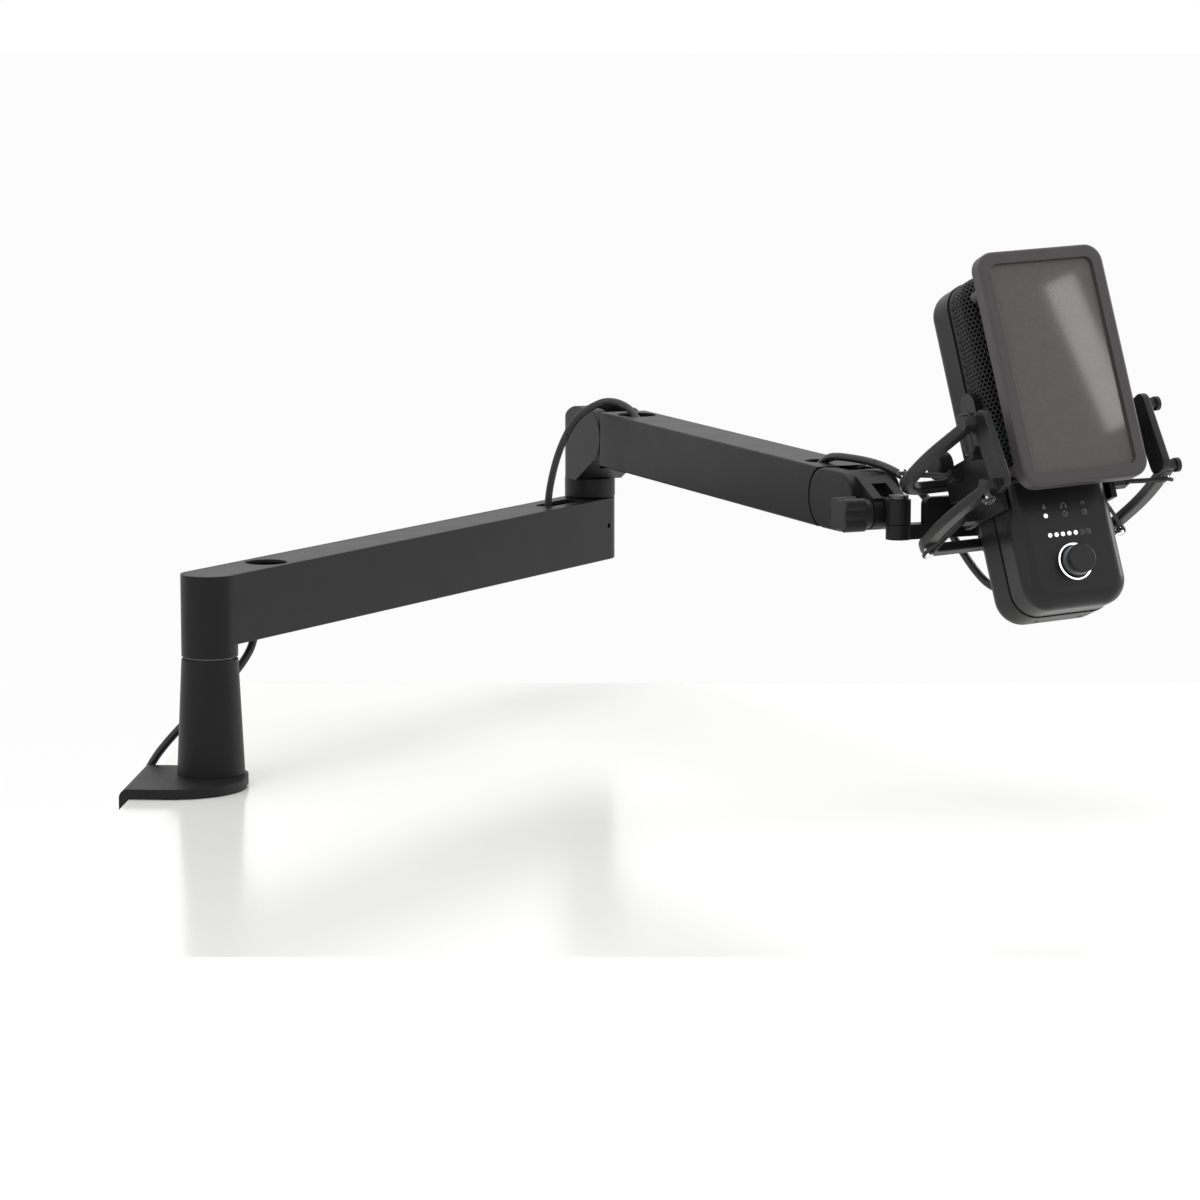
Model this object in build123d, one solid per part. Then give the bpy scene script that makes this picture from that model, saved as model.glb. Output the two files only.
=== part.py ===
from build123d import *
import os
from math import cos, pi, radians, sin, tan

# Condenser microphone on a low desk arm.
# Units are millimetres. The origin is on the riser's axis, on the desk top.
# +X points into the desk, +Y along the desk's edge, +Z up.

os.makedirs("parts", exist_ok=True)

# ---- driving dimensions: desk clamp and riser ----
DESK_EDGE_X = -34.4
PLATE_T = 5.0
PLATE_Y0 = -48.0
PLATE_Y1 = 22.0
NOSE_R = 35.0
CLAMP_DEPTH = 78.0
JAW_REACH = 52.0
DESK_T = 30.0
SCREW_X = -2.0
SCREW_Y = -13.0
SCREW_R = 5.0
RISER_R0 = 17.4
RISER_R1 = 14.5
RISER_TOP = 64.8
WASHER_T = 1.1
SPINDLE_R = 8.0
BUSH_R = 10.0
RUNNING = 0.05

# ---- driving dimensions: two-beam arm ----
ARM_W = 29.0
HALF = ARM_W / 2
WALL = 3.0
LIP = 1.3
COVER_T = 2.0
LOWER_YAW = 64.2
LOWER_LEN = 392.0
LOWER_Z0 = 72.0
LOWER_Z1 = 108.0
LOWER_COVER_END = 318.0
HUB_Z0 = 66.0
UPPER_YAW = -62.2
DROOP = 0.88
PIVOT_X = 30.5
PIVOT_Z = 147.0
PIVOT_SPAN = 297.0
UPPER_H = 31.0
KNUCKLE_R = UPPER_H / 2
COLLAR_R = 14.7
COLLAR_Z1 = 119.7
ELBOW_R = 7.0
TONGUE_T = 12.4
PIN_R = 4.0
ROD_PIN_R = 2.0
ROD_DROP = 9.0
ROD_Y = 8.9
ROD_T = 3.0
FINGER_R = 11.0
LINK_X = 41.5
LINK_Z = -3.7
HEAD_X = 14.5
EYE_R = 8.0
AXLE_R = 3.0

# ---- driving dimensions: microphone ----
MIC_W = 59.0
MIC_D = 41.0
MIC_L = 174.0
MIC_CORNER = 14.0
SHELL_T = 2.0
SEAM_Y = -1.0
GRILLE_Z = -22.0
MIC_POS = (420.1, 53.6, 174.5)
MIC_LEAN = -21.0
MIC_ROLL = -3.0
DIAL_Z = -64.4
RING_R = 9.3
RING_WALL = 0.6
RECESS_D = 1.0
DIAL_R = 7.4
SHAFT_R = 2.5
LED_TOP_Z = -40.0
LED_LOW_Z = -50.0
USB_Z = -62.0
JACK_X = 14.0
LED_TOP_PITCH = 11.1
LED_LOW_PITCH = 3.67
LED_R = 1.0
POP_W = 71.0
POP_H = 120.0
POP_TOP = 89.0
POP_Y = -50.0
POP_T = 8.0
POP_RIM = 6.5

# ---- driving dimensions: shock mount ----
CAGE_TILT = -10.0
RING_W = 7.0
RING_T = 5.0
RING_LOW = -33.5
RING_HIGH = 0.5
TIP_X = 51.0
TIP_Y = -36.0
BOW_X = 57.0
REAR_X = 55.5
REAR_Y = 39.5
HUB_Y = 47.5

# ---- driving dimensions: cable ----
CABLE_D = 4.2
CABLE_R = CABLE_D / 2
COIL_X = -50.5
COIL_Z = -62.0
COIL_R = 24.0
COIL_TUBE = 7.4


def place(loc, shape):
    """The shape moved from its own frame to the object's frame."""
    return loc * shape


def save(name, *shapes):
    """Write one node; several separate solids share it as a group."""
    solids = []
    for shape in shapes:
        solids += list(shape.solids())
    body = solids[0] if len(solids) == 1 else Compound(children=solids)
    body.label = name
    export_step(body, "parts/" + name + ".step")


def turn(x=0, y=0, z=0):
    return Location((0, 0, 0), (x, y, z))


def shift(x=0, y=0, z=0):
    return Location((x, y, z))


def block(x0, x1, y0, y1, z0, z1):
    """An axis-aligned block between two corners."""
    size = Box(x1 - x0, y1 - y0, z1 - z0)
    return Pos((x0 + x1) / 2, (y0 + y1) / 2, (z0 + z1) / 2) * size


def rod_z(r, z0, z1, x=0.0, y=0.0):
    return Pos(x, y, (z0 + z1) / 2) * Cylinder(r, z1 - z0)


def rod_y(r, y0, y1, x=0.0, z=0.0):
    return Pos(x, (y0 + y1) / 2, z) * turn(x=90) * Cylinder(r, y1 - y0)


def rod_x(r, x0, x1, y=0.0, z=0.0):
    return Pos((x0 + x1) / 2, y, z) * turn(y=90) * Cylinder(r, x1 - x0)


def stadium(x0, x1, r, z0, z1):
    """A bar with round ends in plan, from centre x0 to centre x1."""
    face = Pos((x0 + x1) / 2, 0, 0) * SlotCenterToCenter(x1 - x0, 2 * r)
    return extrude(Pos(0, 0, z0) * face, z1 - z0)


def slab_xz(face, y0, y1):
    """A face drawn in X and Z, extruded from y0 to y1."""
    return Pos(0, y1, 0) * turn(x=90) * extrude(face, y1 - y0)


def rounded_slab(w, h, r, y0, y1, cz=0.0):
    """A rounded rectangle standing in the XZ plane."""
    face = Pos(0, cz) * RectangleRounded(w, h, r)
    return slab_xz(face, y0, y1)


def route_tube(points, name):
    """A cable along straight runs joined by large tangent arcs."""
    radii = []
    for a, b, c in zip(points, points[1:], points[2:]):
        u = Vector(*b) - Vector(*a)
        v = Vector(*c) - Vector(*b)
        half = radians(u.get_angle(v)) / 2
        radii.append(0.45 * min(u.length, v.length) / tan(half))
    path = FilletPolyline(*points, radius=radii)
    start = path @ 0
    profile = Plane(start, z_dir=path % 0) * Circle(CABLE_R)
    tube = sweep(profile, path=path)
    ratio = tube.volume / (pi * CABLE_R**2 * path.length)
    print(name, "length %.1f mm" % path.length, "volume ratio %.4f" % ratio)
    print("   radii", [round(r, 1) for r in radii])
    return tube


# ---- frames of the moving groups, all at rest ----
LOWER = turn(z=LOWER_YAW)
ELBOW = LOWER * shift(LOWER_LEN) * turn(z=UPPER_YAW - LOWER_YAW)
PIVOT = ELBOW * shift(PIVOT_X, 0, PIVOT_Z)
UPPER = PIVOT * turn(y=DROOP)
WRIST = UPPER * shift(PIVOT_SPAN) * turn(y=-DROOP)
TILT = WRIST * shift(LINK_X, 0, LINK_Z)
MIC = ELBOW * shift(*MIC_POS) * turn(z=90) * turn(x=MIC_LEAN) * turn(y=MIC_ROLL)
CAGE = MIC * turn(x=CAGE_TILT)


def report_frames():
    """Print the joint places and axes that the record repeats."""
    frames = {"elbow": ELBOW, "pivot": PIVOT, "wrist": WRIST, "tilt": TILT, "mic": MIC, "cage": CAGE}
    for name, loc in frames.items():
        plane = Plane(loc)
        print(name, "at", tuple(plane.origin))
        print("  x", tuple(plane.x_dir), "y", tuple(plane.y_dir), "z", tuple(plane.z_dir))


# ---- desk clamp ----
def plate_outline():
    """The D-shaped plan of the clamp's top plate."""
    mid = (PLATE_Y0 + PLATE_Y1) / 2
    x0 = DESK_EDGE_X - PLATE_T
    x1 = -15.0
    straight = Pos((x0 + x1) / 2, mid) * Rectangle(x1 - x0, PLATE_Y1 - PLATE_Y0)
    nose = Pos(x1, mid) * Circle(NOSE_R)
    collar = Circle(RISER_R0 + 1.6)
    beyond = Pos(x0 - 50, mid) * Rectangle(100, 200)
    return straight + (nose - beyond) + collar


def cable_hook():
    """A hook on the back wall that the spare cable hangs on."""
    z = COIL_Z + COIL_R - COIL_TUBE - 2.7
    x0 = DESK_EDGE_X - PLATE_T
    x1 = COIL_X - COIL_TUBE - 4
    bar = rod_x(2.5, x1, x0 + 1, 0, z)
    tip = rod_z(2.5, z, z + 8, x1)
    return bar + tip + Pos(x1, 0, z) * Sphere(2.5)


def clamp_bracket():
    """Top plate, back wall, lower jaw and cable hook in one steel piece."""
    x0 = DESK_EDGE_X - PLATE_T
    mid = (PLATE_Y0 + PLATE_Y1) / 2
    top = extrude(plate_outline(), PLATE_T)
    wall = block(x0, DESK_EDGE_X, PLATE_Y0, PLATE_Y1, -CLAMP_DEPTH, PLATE_T)
    wall = fillet(wall.edges().filter_by(Axis.X).group_by(Axis.Z)[0], 12)
    jaw = block(x0, DESK_EDGE_X + JAW_REACH, mid - 18, mid + 18, -CLAMP_DEPTH, -CLAMP_DEPTH + 9)
    jaw = fillet(jaw.edges().filter_by(Axis.Z).group_by(Axis.X)[-1], 14)
    body = top + wall + jaw
    bend = body.edges().filter_by(Axis.Y).group_by(Axis.X)[0].sort_by(Axis.Z)[-1]
    body = fillet(bend, PLATE_T - 0.6) + cable_hook()
    body -= rod_z(SCREW_R + 0.2, -CLAMP_DEPTH - 1, -CLAMP_DEPTH + 10, SCREW_X, SCREW_Y)
    for x, y in RISER_BOLTS:
        body -= rod_z(2.6, -1, PLATE_T + 1, x, y)
        body -= Pos(x, y, 1.4) * Cone(5.2, 2.6, 2.8)
    return body


RISER_BOLTS = [(9.0, 0.0), (-4.5, 7.8), (-4.5, -7.8)]


def riser_bolt(x, y):
    head = Pos(x, y, 1.4) * Cone(5.0, 2.4, 2.8)
    return head + rod_z(2.4, 2.8, 20, x, y)


def riser_column():
    height = RISER_TOP - PLATE_T
    body = Pos(0, 0, PLATE_T + height / 2) * Cone(RISER_R0, RISER_R1, height)
    body = fillet(body.edges().group_by(Axis.Z)[-1], 0.8)
    body -= rod_z(SPINDLE_R, 44, RISER_TOP + 1)
    for x, y in RISER_BOLTS:
        body -= rod_z(2.5, PLATE_T - 1, 22, x, y)
    return body


def clamp_spindle():
    """The clamp's threaded screw, shown with its thread's crest grooves."""
    top = -DESK_T - 7
    bottom = -CLAMP_DEPTH - 34
    body = rod_z(SCREW_R, bottom, top, SCREW_X, SCREW_Y)
    groove = Torus(SCREW_R + 0.3, 0.65)
    for n in range(22):
        body -= Pos(SCREW_X, SCREW_Y, top - 4 - 2.5 * n) * groove
    body += rod_z(8, bottom, bottom + 14, SCREW_X, SCREW_Y)
    body -= rod_x(3.05, SCREW_X - 9, SCREW_X + 9, SCREW_Y, bottom + 7)
    return body


def clamp_handle():
    z = -CLAMP_DEPTH - 27
    bar = rod_x(3.0, SCREW_X - 32, SCREW_X + 32, SCREW_Y, z)
    for end in (-32, 32):
        bar += Pos(SCREW_X + end, SCREW_Y, z) * Sphere(4.6)
    return bar


def pressure_plate():
    plate = rod_z(19, -DESK_T - 5.5, -DESK_T - 2.2, SCREW_X, SCREW_Y)
    boss = rod_z(9.5, -DESK_T - 13, -DESK_T - 5.5, SCREW_X, SCREW_Y)
    plate = fillet(plate.edges(), 0.8)
    return plate + boss - rod_z(SCREW_R + RUNNING, -DESK_T - 14, -DESK_T - 7, SCREW_X, SCREW_Y)


def swivel_spindle():
    """The steel post that the lower arm turns on, with its thrust flange."""
    flange = rod_z(13, RISER_TOP, RISER_TOP + WASHER_T)
    return rod_z(SPINDLE_R, 44, 97) + flange


def build_base():
    save("clamp_bracket", clamp_bracket())
    save("riser_column", riser_column())
    save("riser_bolts", *[riser_bolt(x, y) for x, y in RISER_BOLTS])
    save("swivel_spindle", swivel_spindle())
    save("clamp_spindle", clamp_spindle())
    save("clamp_handle", clamp_handle())
    save("pressure_plate", pressure_plate())
    save("pressure_pad", rod_z(17.5, -DESK_T - 2.2, -DESK_T, SCREW_X, SCREW_Y))


# ---- lower arm ----
def lower_beam():
    """A hollow beam, open on top under its cover, with a deeper hub at the riser."""
    inner = HALF - WALL
    beam = stadium(0, LOWER_LEN, HALF, LOWER_Z0, LOWER_Z1)
    beam = fillet(beam.faces().sort_by(Axis.Z)[0].edges(), 0.8)
    beam += rod_z(HALF, HUB_Z0, LOWER_Z0 + 2)
    beam -= block(20, LOWER_LEN - 17, -inner, inner, LOWER_Z0 + WALL, LOWER_Z1 - COVER_T - 0.15)
    beam -= stadium(0, LOWER_COVER_END, HALF - LIP + 0.15, LOWER_Z1 - COVER_T - 0.15, LOWER_Z1 + 1)
    beam -= stadium(341, 369, 6, LOWER_Z1 - 5, LOWER_Z1 + 1)
    beam -= rod_z(BUSH_R, HUB_Z0 - 1, 98)
    beam -= rod_z(ELBOW_R + 2, 84, LOWER_Z1 + 1, LOWER_LEN)
    beam -= rod_y(1.6, -HALF - 1, -9, LOWER_LEN - 3, 92)
    beam -= stadium(36, 48, 5, LOWER_Z0 - 1, LOWER_Z0 + WALL + 1)
    return beam


def lower_cover():
    """The lift-off strip over the cable channel, with its finger hole."""
    plate = stadium(0, LOWER_COVER_END, HALF - LIP, LOWER_Z1 - COVER_T, LOWER_Z1)
    plate -= rod_z(FINGER_R, LOWER_Z1 - 5, LOWER_Z1 + 1, 52)
    return fillet(plate.edges().group_by(Axis.Z)[-1], 0.4)


def tube_z(outer, inner, z0, z1, x=0.0):
    return rod_z(outer, z0, z1, x) - rod_z(inner, z0 - 1, z1 + 1, x)


LOWER_CABLE = [(44, 0, 82), (60, 0, 80), (110, -3, 78.5), (170, -2, 78.2), (230, -3, 78.4), (285, -1, 79),
               (318, 0, 84), (336, 0, 94)]


def build_lower():
    save("lower_beam", place(LOWER, lower_beam()))
    save("lower_cover", place(LOWER, lower_cover()))
    swivel = tube_z(BUSH_R, SPINDLE_R + RUNNING, HUB_Z0 + 0.3, 97.5)
    elbow = tube_z(ELBOW_R + 2, ELBOW_R + RUNNING, 84, LOWER_Z1, LOWER_LEN)
    save("arm_bushes", place(LOWER, swivel), place(LOWER, elbow))
    save("cable_in_lower_arm", place(LOWER, route_tube(LOWER_CABLE, "cable_in_lower_arm")))


# ---- elbow ----
def fork_profile():
    """The elbow fork's side view: foot, chamfered throat, round knuckle and shoulder."""
    foot = COLLAR_Z1 - PIVOT_Z
    back = -COLLAR_R - PIVOT_X
    throat = (9.5, -12.25)
    line = Line((back, foot), (12.5 - PIVOT_X, foot)) + Line((12.5 - PIVOT_X, foot), throat)
    line += Line(throat, (0, KNUCKLE_R)) + Line((0, KNUCKLE_R), (-10, KNUCKLE_R))
    line += ThreePointArc((-10, KNUCKLE_R), (-36, 8), (back, -12)) + Line((back, -12), (back, foot))
    return make_face(line) + Circle(KNUCKLE_R)


def elbow_fork():
    """Collar and fork in one casting, slotted for the arm's tongue and level rod."""
    foot = COLLAR_Z1 - PIVOT_Z
    side = slab_xz(fork_profile(), -HALF, HALF)
    plan = rod_z(HALF, foot - 1, 30, -PIVOT_X) + block(-PIVOT_X, 40, -HALF, HALF, foot - 1, 30)
    body = side & plan
    body -= block(-19, 40, -TONGUE_T / 2 - 0.3, ROD_Y + ROD_T / 2 + 0.6, -19.5, 30)
    body -= rod_y(PIN_R, -12, 20)
    body -= rod_y(ROD_PIN_R, 8, 20, 0, -ROD_DROP)
    collar = rod_z(COLLAR_R, LOWER_Z1 + 0.4 - PIVOT_Z, foot, -PIVOT_X)
    collar = fillet(collar.edges().group_by(Axis.Z)[0], 0.8)
    return body + collar


def tongue(at, toward):
    """A tongue with a round eye at a pivot and a square root inside the beam."""
    sign = 1 if toward > at else -1
    eye = rod_y(12, -TONGUE_T / 2, TONGUE_T / 2, at)
    neck = block(min(at, toward), max(at, toward), -TONGUE_T / 2, TONGUE_T / 2, -8, 8)
    inner = toward - sign * 12
    root = block(min(inner, toward), max(inner, toward), -HALF + WALL, TONGUE_T / 2, -KNUCKLE_R + WALL, 8)
    return eye + neck + root - rod_y(PIN_R + RUNNING, -20, 20, at)


def pivot_pins():
    """The main pin and the level rod's pin of one knuckle."""
    return [rod_y(PIN_R, -12, HALF - 0.4), rod_y(ROD_PIN_R, ROD_Y - 1.9, HALF - 0.6, 0, -ROD_DROP)]


def build_elbow():
    save("elbow_fork", place(PIVOT, elbow_fork()))
    save("elbow_spindle", place(ELBOW, rod_z(ELBOW_R, 84.5, LOWER_Z1 + 0.4)))
    save("elbow_pins", *[place(PIVOT, p) for p in pivot_pins()])


# ---- upper arm ----
BEAM_X0 = 16.4
COVER_X0 = 33.0
COVER_X1 = 262.0
EXIT_X = 268.0
EXIT_R = 7.5


def upper_beam():
    """A hollow beam with a cover recess, two cable openings and round-cut front end."""
    inner = HALF - WALL
    width = HALF - LIP + 0.15
    under = KNUCKLE_R - COVER_T - 0.15
    beam = block(BEAM_X0, PIVOT_SPAN, -HALF, HALF, -KNUCKLE_R, KNUCKLE_R)
    beam = fillet(beam.edges().filter_by(Axis.X), 0.9)
    beam -= block(BEAM_X0 - 1, PIVOT_SPAN + 1, -inner, inner, -KNUCKLE_R + WALL, under)
    beam -= block(COVER_X0 - 0.15, COVER_X1 + 0.15, -width, width, under, KNUCKLE_R + 1)
    beam -= rod_z(FINGER_R, 0, 30, COVER_X0 + 2)
    beam -= rod_z(EXIT_R, 0, 30, EXIT_X, -2)
    beam -= rod_y(KNUCKLE_R + 0.9, -20, 20, PIVOT_SPAN)
    return beam + block(17, 33, -6, 6, -KNUCKLE_R - 2.6, -KNUCKLE_R + 1)


def upper_cover():
    """The lift-off strip over the upper cable channel, notched at both ends."""
    width = HALF - LIP
    plate = block(COVER_X0, COVER_X1, -width, width, KNUCKLE_R - COVER_T, KNUCKLE_R)
    plate -= rod_z(FINGER_R, 0, 30, COVER_X0 + 2)
    return plate - rod_z(EXIT_R, 0, 30, EXIT_X, -2)


def level_rod():
    """The rod that keeps the wrist level as the arm rises."""
    y0 = ROD_Y - ROD_T / 2
    bar = block(0, PIVOT_SPAN, y0, y0 + ROD_T, -2.5, 2.5)
    for x in (0, PIVOT_SPAN):
        bar += rod_y(4.2, y0, y0 + ROD_T, x)
    for x in (0, PIVOT_SPAN):
        bar -= rod_y(ROD_PIN_R + RUNNING, 0, 20, x)
    return bar


SPRING_Z = -6.0
UPPER_CABLE = [(46.4, -2.55, 10.2), (62, -4, 6.6), (110, -2, 5.6), (165, -3, 6), (215, -2, 5.6),
               (246, -2, 6.4), (260, -2, 9)]


def spring_rod():
    """The rod through the spring, its two seats and its end blocks."""
    floor = -KNUCKLE_R + WALL
    parts = [rod_x(2.2, 34, 212, 0, SPRING_Z)]
    parts += [block(212, 220, -5.5, 5.5, floor, -1), block(31, 34, -5.5, 5.5, floor, -1)]
    for x0, x1 in ((58.5, 61.8), (196.2, 199.5)):
        parts.append(rod_x(6, x0, x1, 0, SPRING_Z))
    body = parts[0]
    for piece in parts[1:]:
        body += piece
    return body


def build_upper():
    save("upper_beam", place(UPPER, upper_beam()))
    save("upper_cover", place(UPPER, upper_cover()))
    save("pivot_tongues", place(UPPER, tongue(0, 30)), place(UPPER, tongue(PIVOT_SPAN, PIVOT_SPAN - 32)))
    save("level_rod", place(PIVOT * shift(0, 0, -ROD_DROP) * turn(y=DROOP), level_rod()))
    spring = rod_x(5.0, 62, 196, 0, SPRING_Z) - rod_x(3.6, 61, 197, 0, SPRING_Z)
    save("balance_spring", place(UPPER, spring))
    save("spring_rod", place(UPPER, spring_rod()))
    save("cable_in_upper_arm", place(UPPER, route_tube(UPPER_CABLE, "cable_in_upper_arm")))


# ---- wrist ----
def wrist_knuckle():
    """An obround block that the arm's end wraps, and the tapered neck to the tilt fork."""
    face = SlotCenterToCenter(17.5, 2 * KNUCKLE_R)
    body = slab_xz(Pos(8.75, 0) * face, -HALF, HALF)
    body = fillet(body.edges().filter_by(GeomType.CIRCLE), 0.9)
    body -= block(-20, 14, -TONGUE_T / 2 - 0.3, ROD_Y + ROD_T / 2 + 0.6, -20, 20)
    body -= rod_y(PIN_R, -12, 20)
    body -= rod_y(ROD_PIN_R, 8, 20, 0, -ROD_DROP)
    side = Polyline((20, -11), (20, 14.4), (28, 13.4), (LINK_X + 5, LINK_Z + EYE_R), (LINK_X, LINK_Z),
                    (LINK_X + 2, LINK_Z - EYE_R), (30, -13), close=True)
    neck = slab_xz(make_face(side), -9.5, 9.5) + rod_y(EYE_R, -9.5, 9.5, LINK_X, LINK_Z)
    neck -= block(LINK_X - 10, LINK_X + 20, -4.2, 4.2, LINK_Z - 14, LINK_Z + 14)
    return body + neck - rod_y(AXLE_R + RUNNING, -20, 20, LINK_X, LINK_Z)


KNOB_FACE_Y = -26.8
KNOB_LOBE_Y = -15.0
KNOB_LOBE_AT = 7.2


def tilt_knob():
    """A four-lobed thumb knob on the tilt axle."""
    body = rod_y(7.6, KNOB_FACE_Y, -10.2)
    for n in range(4):
        angle = radians(45 + 90 * n)
        x = KNOB_LOBE_AT * cos(angle)
        z = KNOB_LOBE_AT * sin(angle)
        body += rod_y(3.4, KNOB_FACE_Y, KNOB_LOBE_Y, x, z)
    body = fillet(body.edges().group_by(Axis.Y)[0], 0.6)
    return body - rod_y(AXLE_R, -20, 0)


def head_tongue():
    """The tongue on the tilt axle, with the barrel that the mount turns under."""
    body = rod_y(EYE_R, -3.9, 3.9) + block(0, HEAD_X - 4, -3.9, 3.9, -4.2, 7.8)
    body += rod_z(6.2, -4.2, 8.2, HEAD_X)
    body -= rod_y(AXLE_R, -9, 9)
    return body - rod_z(AXLE_R + RUNNING, -12, 12, HEAD_X)


def build_wrist():
    save("wrist_knuckle", place(WRIST, wrist_knuckle()))
    save("wrist_pins", *[place(WRIST, p) for p in pivot_pins()])
    save("tilt_axle", place(TILT, rod_y(AXLE_R - RUNNING, -19.5, 9.4)))
    save("tilt_knob", place(TILT, tilt_knob()))
    save("head_tongue", place(TILT, head_tongue()))


# ---- shock mount ----
BRACKET_Z0 = -12.0
BRACKET_Z1 = -4.5
WEB_Y0 = 13.0
WEB_Y1 = 36.0
WEB_TOP = 9.0
BOSS_Z = -23.0


def mount_bracket():
    """The bar from the swivel barrel along the back of the cage to its hub."""
    bar = block(HEAD_X - 4.5, HEAD_X + 4.5, 0, 56, BRACKET_Z0, BRACKET_Z1)
    disc = rod_z(6.5, BRACKET_Z0, BRACKET_Z1, HEAD_X)
    web = block(HEAD_X - 0.5, HEAD_X + 4.5, WEB_Y0, WEB_Y1, BRACKET_Z1 - 1, WEB_TOP)
    web = fillet(web.edges().filter_by(Axis.X).group_by(Axis.Z)[-1], 4)
    boss = rod_y(7, HUB_Y, HUB_Y + 9, 0, BOSS_Z)
    above_ring = block(-70, 70, REAR_Y - 8, REAR_Y + 8, RING_HIGH - RING_T / 2 - 0.6, 60)
    web = place(TILT, web) - place(CAGE, above_ring)
    body = place(TILT, bar + disc) + web + place(CAGE, boss)
    return body - place(TILT, rod_z(AXLE_R - 0.02, -20, 0, HEAD_X))


def hub_bolt():
    """The bolt through the hub plate into the bracket's boss, seen from the cage's inside."""
    return rod_y(6, REAR_Y + RING_W / 2 - 3, REAR_Y + RING_W / 2, 0, BOSS_Z)


def swivel_pin():
    return rod_z(AXLE_R - 0.02, BRACKET_Z0, 8.7, HEAD_X) + rod_z(5, 8.6, 10.4, HEAD_X)


def ring(z):
    """One flat C-shaped ring of the cage, open at the front."""
    points = [(-TIP_X, TIP_Y), (-BOW_X, 2), (-REAR_X, REAR_Y), (REAR_X, REAR_Y), (BOW_X, 2), (TIP_X, TIP_Y)]
    path = FilletPolyline(*points, radius=[150, 13, 13, 150])
    start = Plane(path @ 0, x_dir=(0, 0, 1), z_dir=path % 0)
    body = sweep(start * RectangleRounded(RING_T, RING_W, 1.2), path=path)
    return Pos(0, 0, z) * body


PADDLE_X = 45.5
PADDLE_T = 4.0
PADDLE_D = 14.0


def front_paddle(side):
    """The rounded side plate that joins the two rings at their tips."""
    x = side * PADDLE_X
    low = RING_LOW - 3.5
    high = RING_HIGH + 4.5
    face = RectangleRounded(high - low, PADDLE_D, 5)
    plate = Pos(x, TIP_Y - 3, (low + high) / 2) * turn(y=90) * extrude(face, PADDLE_T / 2, both=True)
    plate = fillet(plate.edges().filter_by(GeomType.LINE).filter_by(Axis.X, reverse=True), 0.8)
    for z in (RING_LOW, RING_HIGH):
        x0 = min(x, side * (TIP_X + 3.4))
        x1 = max(x, side * (TIP_X + 3.4))
        stub = block(x0, x1, TIP_Y - 4.6, TIP_Y, z - 2.4, z + 2.4)
        plate += fillet(stub.edges().filter_by(Axis.Z), 1.2)
        inner, outer = sorted((side * (TIP_X + 3), side * (TIP_X + 5.2)))
        plate += rod_x(3.6, inner, outer, TIP_Y - 2, z)
    return plate - ring(RING_LOW) - ring(RING_HIGH)


PIN_H = 4.2
CORD_H = 3.2
ELASTIC_R = 1.1
CORNERS = [(-TIP_X, TIP_Y + 4), (TIP_X, TIP_Y + 4), (-REAR_X - 0.4, REAR_Y - 9), (REAR_X + 0.4, REAR_Y - 9)]


def ring_pins():
    """Bright headed pins on the rings that hold the elastic loops."""
    pins = []
    for x, y in CORNERS:
        for z, way in ((RING_LOW, -1), (RING_HIGH, 1)):
            stem = rod_z(1.5, RING_T / 2, RING_T / 2 + PIN_H, x, y)
            head = rod_z(2.3, RING_T / 2 + PIN_H - 1.2, RING_T / 2 + PIN_H, x, y)
            pin = stem + head
            if way < 0:
                pin = mirror(pin, Plane.XY)
            pins.append(Pos(0, 0, z) * pin)
    return pins


def hub_plate():
    """The upright plate that joins the two rings behind the microphone."""
    y0 = REAR_Y + RING_W / 2
    plate = block(-15, 15, y0, HUB_Y, RING_LOW - 2.4, RING_HIGH + 2.4)
    return fillet(plate.edges().filter_by(Axis.Y), 3)


def elastic(p, q):
    """One straight elastic cord between two points."""
    a = Vector(*p)
    b = Vector(*q)
    return Plane(a, z_dir=b - a) * extrude(Circle(ELASTIC_R), (b - a).length)


CRADLE_EARS = [(-38.5, -12.0), (38.5, -12.0), (-38.5, 14.0), (38.5, 14.0)]
EAR_Z = (-29.0, -5.0)


def elastic_cords():
    """Eight elastic cords from the ring pins to the cradle's ears."""
    cords = []
    for (x, y), (u, v) in zip(CORNERS, CRADLE_EARS):
        for z, ear_z, way in ((RING_LOW, EAR_Z[0], -1), (RING_HIGH, EAR_Z[1], 1)):
            start = Vector(x, y, z + way * (RING_T / 2 + CORD_H))
            end = Vector(u, v, ear_z)
            step = (end - start).normalized()
            cords.append(elastic(tuple(start + step * 2.6), tuple(end - step * 4.9)))
    return cords


def build_mount():
    save("mount_bracket", mount_bracket())
    save("mount_fasteners", place(TILT, swivel_pin()), place(CAGE, hub_bolt()))
    save("cage_rings", *[place(CAGE, ring(z)) for z in (RING_LOW, RING_HIGH)])
    save("cage_hub_plate", place(CAGE, hub_plate()))
    save("cage_front_posts", *[place(CAGE, front_paddle(s)) for s in (-1, 1)])
    save("cage_ring_pins", *[place(CAGE, p) for p in ring_pins()])
    save("elastic_cords", *[place(CAGE, c) for c in elastic_cords()])


# ---- cradle that holds the microphone in the cage ----
CRADLE_X = MIC_W / 2 + 0.4


def side_plate(side):
    """A side plate with a round head, screwed to the microphone's side."""
    x0 = min(side * CRADLE_X, side * (CRADLE_X + 3))
    plate = block(x0, x0 + 3, -13, 31, -18, -4)
    head = Pos(x0 + 1.5, -6, 6) * turn(y=90) * extrude(RectangleRounded(46, 14, 6.5), 1.5, both=True)
    return plate + head


def ear(x, y, z):
    """A small eyelet block that an elastic cord hooks round, with its stalk to the plate."""
    side = 1 if x > 0 else -1
    inner = side * (CRADLE_X + 2)
    outer = x + side * 2.2
    return block(min(inner, outer), max(inner, outer), y - 2.6, y + 2.6, z - 2.6, z + 2.6)


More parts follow.
